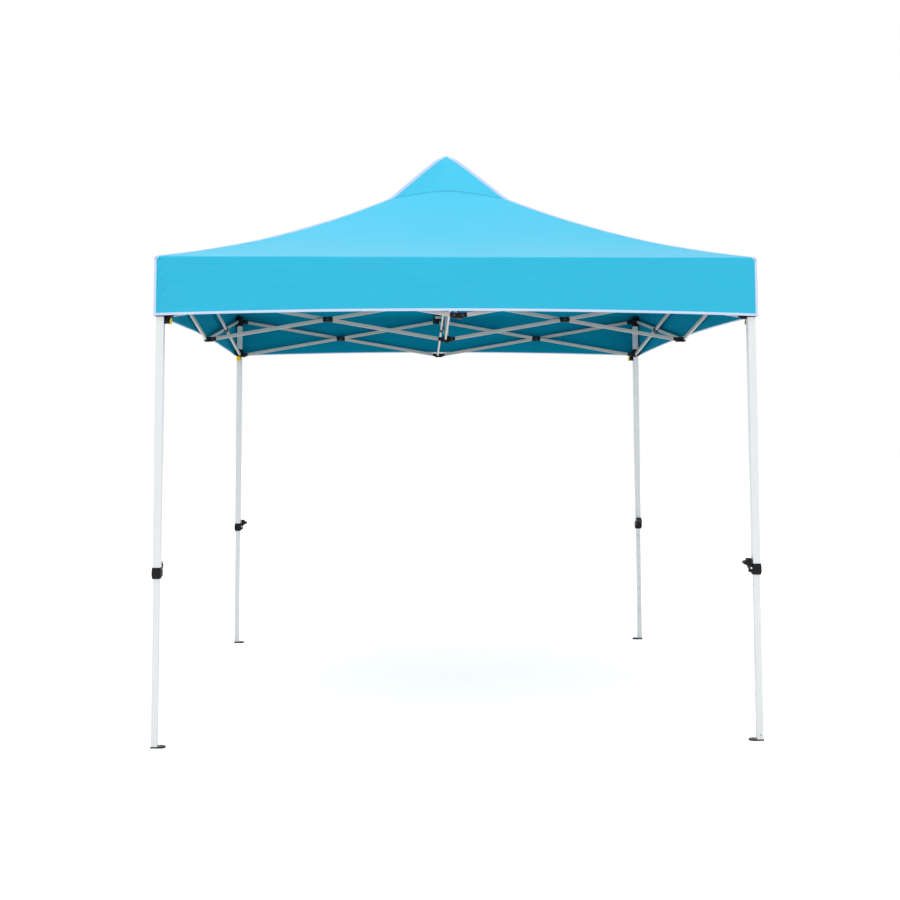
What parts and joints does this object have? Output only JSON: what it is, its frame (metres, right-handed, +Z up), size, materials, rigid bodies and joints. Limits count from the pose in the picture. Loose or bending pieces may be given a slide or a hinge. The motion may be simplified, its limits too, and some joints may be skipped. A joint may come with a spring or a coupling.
{
  "type": "pop up canopy",
  "caption": "Square pop-up canopy: folding scissor-truss frame on four telescoping legs, with a pointed fabric roof, straight valance and white piping.",
  "frame": {"origin": "on the ground at the centre of the four legs", "axes": "+Z up; the picture's nearest side faces -Y, with +X to its right"},
  "size_m": [3, 3, 3.2375],
  "materials": {
    "leg_enamel": "white powder coat",
    "bar_enamel": "pale grey coated aluminium",
    "black_plastic": "moulded black nylon",
    "yellow_plastic": "moulded yellow plastic",
    "canopy_fabric": "sky blue coated polyester"
  },
  "bodies": {
    "hub_top": {"hub_top": "black_plastic", "canopy_roof": "canopy_fabric", "canopy_valance": "canopy_fabric"},
    "hub_bottom": {"hub_bottom": "black_plastic", "mast_tube": "leg_enamel", "mast_bush": "black_plastic"},
    "mast_rod": {"mast_rod": "leg_enamel", "mast_cap": "black_plastic"},
    "centre_bar_top_front": {"centre_bar_top_front": "bar_enamel"},
    "centre_bar_bottom_front": {"centre_bar_bottom_front": "bar_enamel"},
    "side_joint_top_front": {"side_joint_top_front": "black_plastic"},
    "side_joint_bottom_front": {"side_joint_bottom_front": "black_plastic"},
    "top_bar_front_left": {"top_bar_front_left": "bar_enamel"},
    "low_bar_front_left": {"low_bar_front_left": "bar_enamel"},
    "top_bar_front_right": {"top_bar_front_right": "bar_enamel"},
    "low_bar_front_right": {"low_bar_front_right": "bar_enamel"},
    "leg_front_left": {"leg_front_left": "leg_enamel"},
    "slider_front_left": {"slider_front_left": "black_plastic"},
    "inner_leg_front_left": {"inner_leg_front_left": "leg_enamel"},
    "height_lever_front_left": {"height_lever_front_left": "black_plastic"},
    "pull_pin_front_left": {"pull_pin_front_left": "yellow_plastic"},
    "centre_bar_top_right": {"centre_bar_top_right": "bar_enamel"},
    "centre_bar_bottom_right": {"centre_bar_bottom_right": "bar_enamel"},
    "side_joint_top_right": {"side_joint_top_right": "black_plastic"},
    "side_joint_bottom_right": {"side_joint_bottom_right": "black_plastic"},
    "top_bar_right_left": {"top_bar_right_left": "bar_enamel"},
    "low_bar_right_left": {"low_bar_right_left": "bar_enamel"},
    "top_bar_right_right": {"top_bar_right_right": "bar_enamel"},
    "low_bar_right_right": {"low_bar_right_right": "bar_enamel"},
    "leg_front_right": {"leg_front_right": "leg_enamel"},
    "slider_front_right": {"slider_front_right": "black_plastic"},
    "inner_leg_front_right": {"inner_leg_front_right": "leg_enamel"},
    "height_lever_front_right": {"height_lever_front_right": "black_plastic"},
    "pull_pin_front_right": {"pull_pin_front_right": "yellow_plastic"},
    "centre_bar_top_back": {"centre_bar_top_back": "bar_enamel"},
    "centre_bar_bottom_back": {"centre_bar_bottom_back": "bar_enamel"},
    "side_joint_top_back": {"side_joint_top_back": "black_plastic"},
    "side_joint_bottom_back": {"side_joint_bottom_back": "black_plastic"},
    "top_bar_back_left": {"top_bar_back_left": "bar_enamel"},
    "low_bar_back_left": {"low_bar_back_left": "bar_enamel"},
    "top_bar_back_right": {"top_bar_back_right": "bar_enamel"},
    "low_bar_back_right": {"low_bar_back_right": "bar_enamel"},
    "leg_back_right": {"leg_back_right": "leg_enamel"},
    "slider_back_right": {"slider_back_right": "black_plastic"},
    "inner_leg_back_right": {"inner_leg_back_right": "leg_enamel"},
    "height_lever_back_right": {"height_lever_back_right": "black_plastic"},
    "pull_pin_back_right": {"pull_pin_back_right": "yellow_plastic"},
    "centre_bar_top_left": {"centre_bar_top_left": "bar_enamel"},
    "centre_bar_bottom_left": {"centre_bar_bottom_left": "bar_enamel"},
    "side_joint_top_left": {"side_joint_top_left": "black_plastic"},
    "side_joint_bottom_left": {"side_joint_bottom_left": "black_plastic"},
    "top_bar_left_left": {"top_bar_left_left": "bar_enamel"},
    "low_bar_left_left": {"low_bar_left_left": "bar_enamel"},
    "top_bar_left_right": {"top_bar_left_right": "bar_enamel"},
    "low_bar_left_right": {"low_bar_left_right": "bar_enamel"},
    "leg_back_left": {"leg_back_left": "leg_enamel"},
    "slider_back_left": {"slider_back_left": "black_plastic"},
    "inner_leg_back_left": {"inner_leg_back_left": "leg_enamel"},
    "height_lever_back_left": {"height_lever_back_left": "black_plastic"},
    "pull_pin_back_left": {"pull_pin_back_left": "yellow_plastic"}
  },
  "joints": [
    {"name": "fold", "type": "hinge", "parent": "hub_top", "child": "centre_bar_top_front", "pos_m": [0.0085, -0.031, 2.332], "axis": [1, 0, 0], "range_deg": [0, 76.8], "deforming": ["canopy_roof", "canopy_valance"]},
    {"name": "cross_centre_front", "type": "hinge", "parent": "centre_bar_top_front", "child": "centre_bar_bottom_front", "pos_m": [0, -0.735, 2.21], "axis": [1, 0, 0], "range_deg": [-154.6, 0]},
    {"name": "bottom_joint_pivot_front", "type": "hinge", "parent": "centre_bar_top_front", "child": "side_joint_bottom_front", "pos_m": [0.0085, -1.439, 2.088], "axis": [1, 0, 0], "range_deg": [-77.8, 0]},
    {"name": "top_joint_pivot_front", "type": "hinge", "parent": "centre_bar_bottom_front", "child": "side_joint_top_front", "pos_m": [-0.0085, -1.439, 2.332], "axis": [1, 0, 0], "range_deg": [0, 77.8]},
    {"name": "hub_bottom_pivot", "type": "hinge", "parent": "centre_bar_bottom_front", "child": "hub_bottom", "pos_m": [-0.0085, -0.031, 2.088], "axis": [1, 0, 0], "range_deg": [0, 77.8]},
    {"name": "low_bar_pivot_front_left", "type": "hinge", "parent": "side_joint_top_front", "child": "low_bar_front_left", "pos_m": [-0.022, -1.4615, 2.332], "axis": [0, -1, 0], "range_deg": [0, 77.8]},
    {"name": "cross_front_left", "type": "hinge", "parent": "low_bar_front_left", "child": "top_bar_front_left", "pos_m": [-0.726, -1.47, 2.21], "axis": [0, -1, 0], "range_deg": [-154.6, 0]},
    {"name": "low_bar_pivot_front_right", "type": "hinge", "parent": "side_joint_top_front", "child": "low_bar_front_right", "pos_m": [0.022, -1.4615, 2.332], "axis": [0, 1, 0], "range_deg": [0, 77.8]},
    {"name": "cross_front_right", "type": "hinge", "parent": "low_bar_front_right", "child": "top_bar_front_right", "pos_m": [0.726, -1.47, 2.21], "axis": [0, 1, 0], "range_deg": [-154.6, 0]},
    {"name": "leg_pivot_front_left", "type": "hinge", "parent": "top_bar_front_left", "child": "leg_front_left", "pos_m": [-1.43, -1.4785, 2.332], "axis": [0, -1, 0], "range_deg": [0, 77.8]},
    {"name": "slider_pivot_front_left", "type": "hinge", "parent": "low_bar_front_left", "child": "slider_front_left", "pos_m": [-1.43, -1.4615, 2.088], "axis": [0, -1, 0], "range_deg": [-77.8, 0]},
    {"name": "leg_height_front_left", "type": "slide", "parent": "leg_front_left", "child": "inner_leg_front_left", "axis": [0, 0, 1], "range_m": [0, 0.7]},
    {"name": "height_lever_pull_front_left", "type": "hinge", "parent": "leg_front_left", "child": "height_lever_front_left", "pos_m": [-1.47, -1.439, 0.836], "axis": [-1, 0, 0], "range_deg": [0, 25], "stiffness_Nm_per_rad": 0.6, "springref_deg": -5.73},
    {"name": "pin_pull_front_left", "type": "slide", "parent": "slider_front_left", "child": "pull_pin_front_left", "axis": [1, 0, 0], "range_m": [0, 0.008], "stiffness_N_per_m": 400, "springref_m": -0.004},
    {"name": "fold_right", "type": "hinge", "parent": "hub_top", "child": "centre_bar_top_right", "pos_m": [0.031, 0.0085, 2.332], "axis": [0, 1, 0], "range_deg": [0, 77.8]},
    {"name": "cross_centre_right", "type": "hinge", "parent": "centre_bar_top_right", "child": "centre_bar_bottom_right", "pos_m": [0.735, 0, 2.21], "axis": [0, 1, 0], "range_deg": [-154.6, 0]},
    {"name": "bottom_joint_pivot_right", "type": "hinge", "parent": "centre_bar_top_right", "child": "side_joint_bottom_right", "pos_m": [1.439, 0.0085, 2.088], "axis": [0, 1, 0], "range_deg": [-77.8, 0]},
    {"name": "top_joint_pivot_right", "type": "hinge", "parent": "centre_bar_bottom_right", "child": "side_joint_top_right", "pos_m": [1.439, -0.0085, 2.332], "axis": [0, 1, 0], "range_deg": [0, 77.8]},
    {"name": "low_bar_pivot_right_left", "type": "hinge", "parent": "side_joint_top_right", "child": "low_bar_right_left", "pos_m": [1.4615, -0.022, 2.332], "axis": [1, 0, 0], "range_deg": [0, 77.8]},
    {"name": "cross_right_left", "type": "hinge", "parent": "low_bar_right_left", "child": "top_bar_right_left", "pos_m": [1.47, -0.726, 2.21], "axis": [1, 0, 0], "range_deg": [-154.6, 0]},
    {"name": "low_bar_pivot_right_right", "type": "hinge", "parent": "side_joint_top_right", "child": "low_bar_right_right", "pos_m": [1.4615, 0.022, 2.332], "axis": [-1, 0, 0], "range_deg": [0, 77.8]},
    {"name": "cross_right_right", "type": "hinge", "parent": "low_bar_right_right", "child": "top_bar_right_right", "pos_m": [1.47, 0.726, 2.21], "axis": [-1, 0, 0], "range_deg": [-154.6, 0]},
    {"name": "leg_pivot_front_right", "type": "hinge", "parent": "top_bar_right_left", "child": "leg_front_right", "pos_m": [1.4785, -1.43, 2.332], "axis": [1, 0, 0], "range_deg": [0, 77.8]},
    {"name": "slider_pivot_front_right", "type": "hinge", "parent": "low_bar_right_left", "child": "slider_front_right", "pos_m": [1.4615, -1.43, 2.088], "axis": [1, 0, 0], "range_deg": [-77.8, 0]},
    {"name": "leg_height_front_right", "type": "slide", "parent": "leg_front_right", "child": "inner_leg_front_right", "axis": [0, 0, 1], "range_m": [0, 0.7]},
    {"name": "height_lever_pull_front_right", "type": "hinge", "parent": "leg_front_right", "child": "height_lever_front_right", "pos_m": [1.439, -1.47, 0.836], "axis": [0, -1, 0], "range_deg": [0, 25], "stiffness_Nm_per_rad": 0.6, "springref_deg": -5.73},
    {"name": "pin_pull_front_right", "type": "slide", "parent": "slider_front_right", "child": "pull_pin_front_right", "axis": [0, 1, 0], "range_m": [0, 0.008], "stiffness_N_per_m": 400, "springref_m": -0.004},
    {"name": "fold_back", "type": "hinge", "parent": "hub_top", "child": "centre_bar_top_back", "pos_m": [-0.0085, 0.031, 2.332], "axis": [-1, 0, 0], "range_deg": [0, 77.8]},
    {"name": "cross_centre_back", "type": "hinge", "parent": "centre_bar_top_back", "child": "centre_bar_bottom_back", "pos_m": [0, 0.735, 2.21], "axis": [-1, 0, 0], "range_deg": [-154.6, 0]},
    {"name": "bottom_joint_pivot_back", "type": "hinge", "parent": "centre_bar_top_back", "child": "side_joint_bottom_back", "pos_m": [-0.0085, 1.439, 2.088], "axis": [-1, 0, 0], "range_deg": [-77.8, 0]},
    {"name": "top_joint_pivot_back", "type": "hinge", "parent": "centre_bar_bottom_back", "child": "side_joint_top_back", "pos_m": [0.0085, 1.439, 2.332], "axis": [-1, 0, 0], "range_deg": [0, 77.8]},
    {"name": "low_bar_pivot_back_left", "type": "hinge", "parent": "side_joint_top_back", "child": "low_bar_back_left", "pos_m": [0.022, 1.4615, 2.332], "axis": [0, 1, 0], "range_deg": [0, 77.8]},
    {"name": "cross_back_left", "type": "hinge", "parent": "low_bar_back_left", "child": "top_bar_back_left", "pos_m": [0.726, 1.47, 2.21], "axis": [0, 1, 0], "range_deg": [-154.6, 0]},
    {"name": "low_bar_pivot_back_right", "type": "hinge", "parent": "side_joint_top_back", "child": "low_bar_back_right", "pos_m": [-0.022, 1.4615, 2.332], "axis": [0, -1, 0], "range_deg": [0, 77.8]},
    {"name": "cross_back_right", "type": "hinge", "parent": "low_bar_back_right", "child": "top_bar_back_right", "pos_m": [-0.726, 1.47, 2.21], "axis": [0, -1, 0], "range_deg": [-154.6, 0]},
    {"name": "leg_pivot_back_right", "type": "hinge", "parent": "top_bar_back_left", "child": "leg_back_right", "pos_m": [1.43, 1.4785, 2.332], "axis": [0, 1, 0], "range_deg": [0, 77.8]},
    {"name": "slider_pivot_back_right", "type": "hinge", "parent": "low_bar_back_left", "child": "slider_back_right", "pos_m": [1.43, 1.4615, 2.088], "axis": [0, 1, 0], "range_deg": [-77.8, 0]},
    {"name": "leg_height_back_right", "type": "slide", "parent": "leg_back_right", "child": "inner_leg_back_right", "axis": [0, 0, 1], "range_m": [0, 0.7]},
    {"name": "height_lever_pull_back_right", "type": "hinge", "parent": "leg_back_right", "child": "height_lever_back_right", "pos_m": [1.47, 1.439, 0.836], "axis": [1, 0, 0], "range_deg": [0, 25], "stiffness_Nm_per_rad": 0.6, "springref_deg": -5.73},
    {"name": "pin_pull_back_right", "type": "slide", "parent": "slider_back_right", "child": "pull_pin_back_right", "axis": [-1, 0, 0], "range_m": [0, 0.008], "stiffness_N_per_m": 400, "springref_m": -0.004},
    {"name": "fold_left", "type": "hinge", "parent": "hub_top", "child": "centre_bar_top_left", "pos_m": [-0.031, -0.0085, 2.332], "axis": [0, -1, 0], "range_deg": [0, 77.8]},
    {"name": "cross_centre_left", "type": "hinge", "parent": "centre_bar_top_left", "child": "centre_bar_bottom_left", "pos_m": [-0.735, 0, 2.21], "axis": [0, -1, 0], "range_deg": [-154.6, 0]},
    {"name": "bottom_joint_pivot_left", "type": "hinge", "parent": "centre_bar_top_left", "child": "side_joint_bottom_left", "pos_m": [-1.439, -0.0085, 2.088], "axis": [0, -1, 0], "range_deg": [-77.8, 0]},
    {"name": "top_joint_pivot_left", "type": "hinge", "parent": "centre_bar_bottom_left", "child": "side_joint_top_left", "pos_m": [-1.439, 0.0085, 2.332], "axis": [0, -1, 0], "range_deg": [0, 77.8]},
    {"name": "low_bar_pivot_left_left", "type": "hinge", "parent": "side_joint_top_left", "child": "low_bar_left_left", "pos_m": [-1.4615, 0.022, 2.332], "axis": [-1, 0, 0], "range_deg": [0, 77.8]},
    {"name": "cross_left_left", "type": "hinge", "parent": "low_bar_left_left", "child": "top_bar_left_left", "pos_m": [-1.47, 0.726, 2.21], "axis": [-1, 0, 0], "range_deg": [-154.6, 0]},
    {"name": "low_bar_pivot_left_right", "type": "hinge", "parent": "side_joint_top_left", "child": "low_bar_left_right", "pos_m": [-1.4615, -0.022, 2.332], "axis": [1, 0, 0], "range_deg": [0, 77.8]},
    {"name": "cross_left_right", "type": "hinge", "parent": "low_bar_left_right", "child": "top_bar_left_right", "pos_m": [-1.47, -0.726, 2.21], "axis": [1, 0, 0], "range_deg": [-154.6, 0]},
    {"name": "leg_pivot_back_left", "type": "hinge", "parent": "top_bar_left_left", "child": "leg_back_left", "pos_m": [-1.4785, 1.43, 2.332], "axis": [-1, 0, 0], "range_deg": [0, 77.8]},
    {"name": "slider_pivot_back_left", "type": "hinge", "parent": "low_bar_left_left", "child": "slider_back_left", "pos_m": [-1.4615, 1.43, 2.088], "axis": [-1, 0, 0], "range_deg": [-77.8, 0]},
    {"name": "leg_height_back_left", "type": "slide", "parent": "leg_back_left", "child": "inner_leg_back_left", "axis": [0, 0, 1], "range_m": [0, 0.7]},
    {"name": "height_lever_pull_back_left", "type": "hinge", "parent": "leg_back_left", "child": "height_lever_back_left", "pos_m": [-1.439, 1.47, 0.836], "axis": [0, 1, 0], "range_deg": [0, 25], "stiffness_Nm_per_rad": 0.6, "springref_deg": -5.73},
    {"name": "pin_pull_back_left", "type": "slide", "parent": "slider_back_left", "child": "pull_pin_back_left", "axis": [0, -1, 0], "range_m": [0, 0.008], "stiffness_N_per_m": 400, "springref_m": -0.004},
    {"name": "mast_telescope", "type": "slide", "parent": "hub_bottom", "child": "mast_rod", "axis": [0, 0, 1], "range_m": [0, 0.405]}
  ],
  "couplings": [
    {"joint": "cross_centre_front", "follows": "fold", "ratio": -2},
    {"joint": "bottom_joint_pivot_front", "follows": "fold", "ratio": -1},
    {"joint": "top_joint_pivot_front", "follows": "fold", "ratio": 1},
    {"joint": "hub_bottom_pivot", "follows": "fold", "ratio": 1},
    {"joint": "low_bar_pivot_front_left", "follows": "fold", "ratio": 1},
    {"joint": "cross_front_left", "follows": "fold", "ratio": -2},
    {"joint": "low_bar_pivot_front_right", "follows": "fold", "ratio": 1},
    {"joint": "cross_front_right", "follows": "fold", "ratio": -2},
    {"joint": "leg_pivot_front_left", "follows": "fold", "ratio": 1},
    {"joint": "slider_pivot_front_left", "follows": "fold", "ratio": -1},
    {"joint": "fold_right", "follows": "fold", "ratio": 1},
    {"joint": "cross_centre_right", "follows": "fold", "ratio": -2},
    {"joint": "bottom_joint_pivot_right", "follows": "fold", "ratio": -1},
    {"joint": "top_joint_pivot_right", "follows": "fold", "ratio": 1},
    {"joint": "low_bar_pivot_right_left", "follows": "fold", "ratio": 1},
    {"joint": "cross_right_left", "follows": "fold", "ratio": -2},
    {"joint": "low_bar_pivot_right_right", "follows": "fold", "ratio": 1},
    {"joint": "cross_right_right", "follows": "fold", "ratio": -2},
    {"joint": "leg_pivot_front_right", "follows": "fold", "ratio": 1},
    {"joint": "slider_pivot_front_right", "follows": "fold", "ratio": -1},
    {"joint": "fold_back", "follows": "fold", "ratio": 1},
    {"joint": "cross_centre_back", "follows": "fold", "ratio": -2},
    {"joint": "bottom_joint_pivot_back", "follows": "fold", "ratio": -1},
    {"joint": "top_joint_pivot_back", "follows": "fold", "ratio": 1},
    {"joint": "low_bar_pivot_back_left", "follows": "fold", "ratio": 1},
    {"joint": "cross_back_left", "follows": "fold", "ratio": -2},
    {"joint": "low_bar_pivot_back_right", "follows": "fold", "ratio": 1},
    {"joint": "cross_back_right", "follows": "fold", "ratio": -2},
    {"joint": "leg_pivot_back_right", "follows": "fold", "ratio": 1},
    {"joint": "slider_pivot_back_right", "follows": "fold", "ratio": -1},
    {"joint": "fold_left", "follows": "fold", "ratio": 1},
    {"joint": "cross_centre_left", "follows": "fold", "ratio": -2},
    {"joint": "bottom_joint_pivot_left", "follows": "fold", "ratio": -1},
    {"joint": "top_joint_pivot_left", "follows": "fold", "ratio": 1},
    {"joint": "low_bar_pivot_left_left", "follows": "fold", "ratio": 1},
    {"joint": "cross_left_left", "follows": "fold", "ratio": -2},
    {"joint": "low_bar_pivot_left_right", "follows": "fold", "ratio": 1},
    {"joint": "cross_left_right", "follows": "fold", "ratio": -2},
    {"joint": "leg_pivot_back_left", "follows": "fold", "ratio": 1},
    {"joint": "slider_pivot_back_left", "follows": "fold", "ratio": -1},
    {"joint": "mast_telescope", "follows": "fold", "m_per_rad": 0.29842}
  ]
}
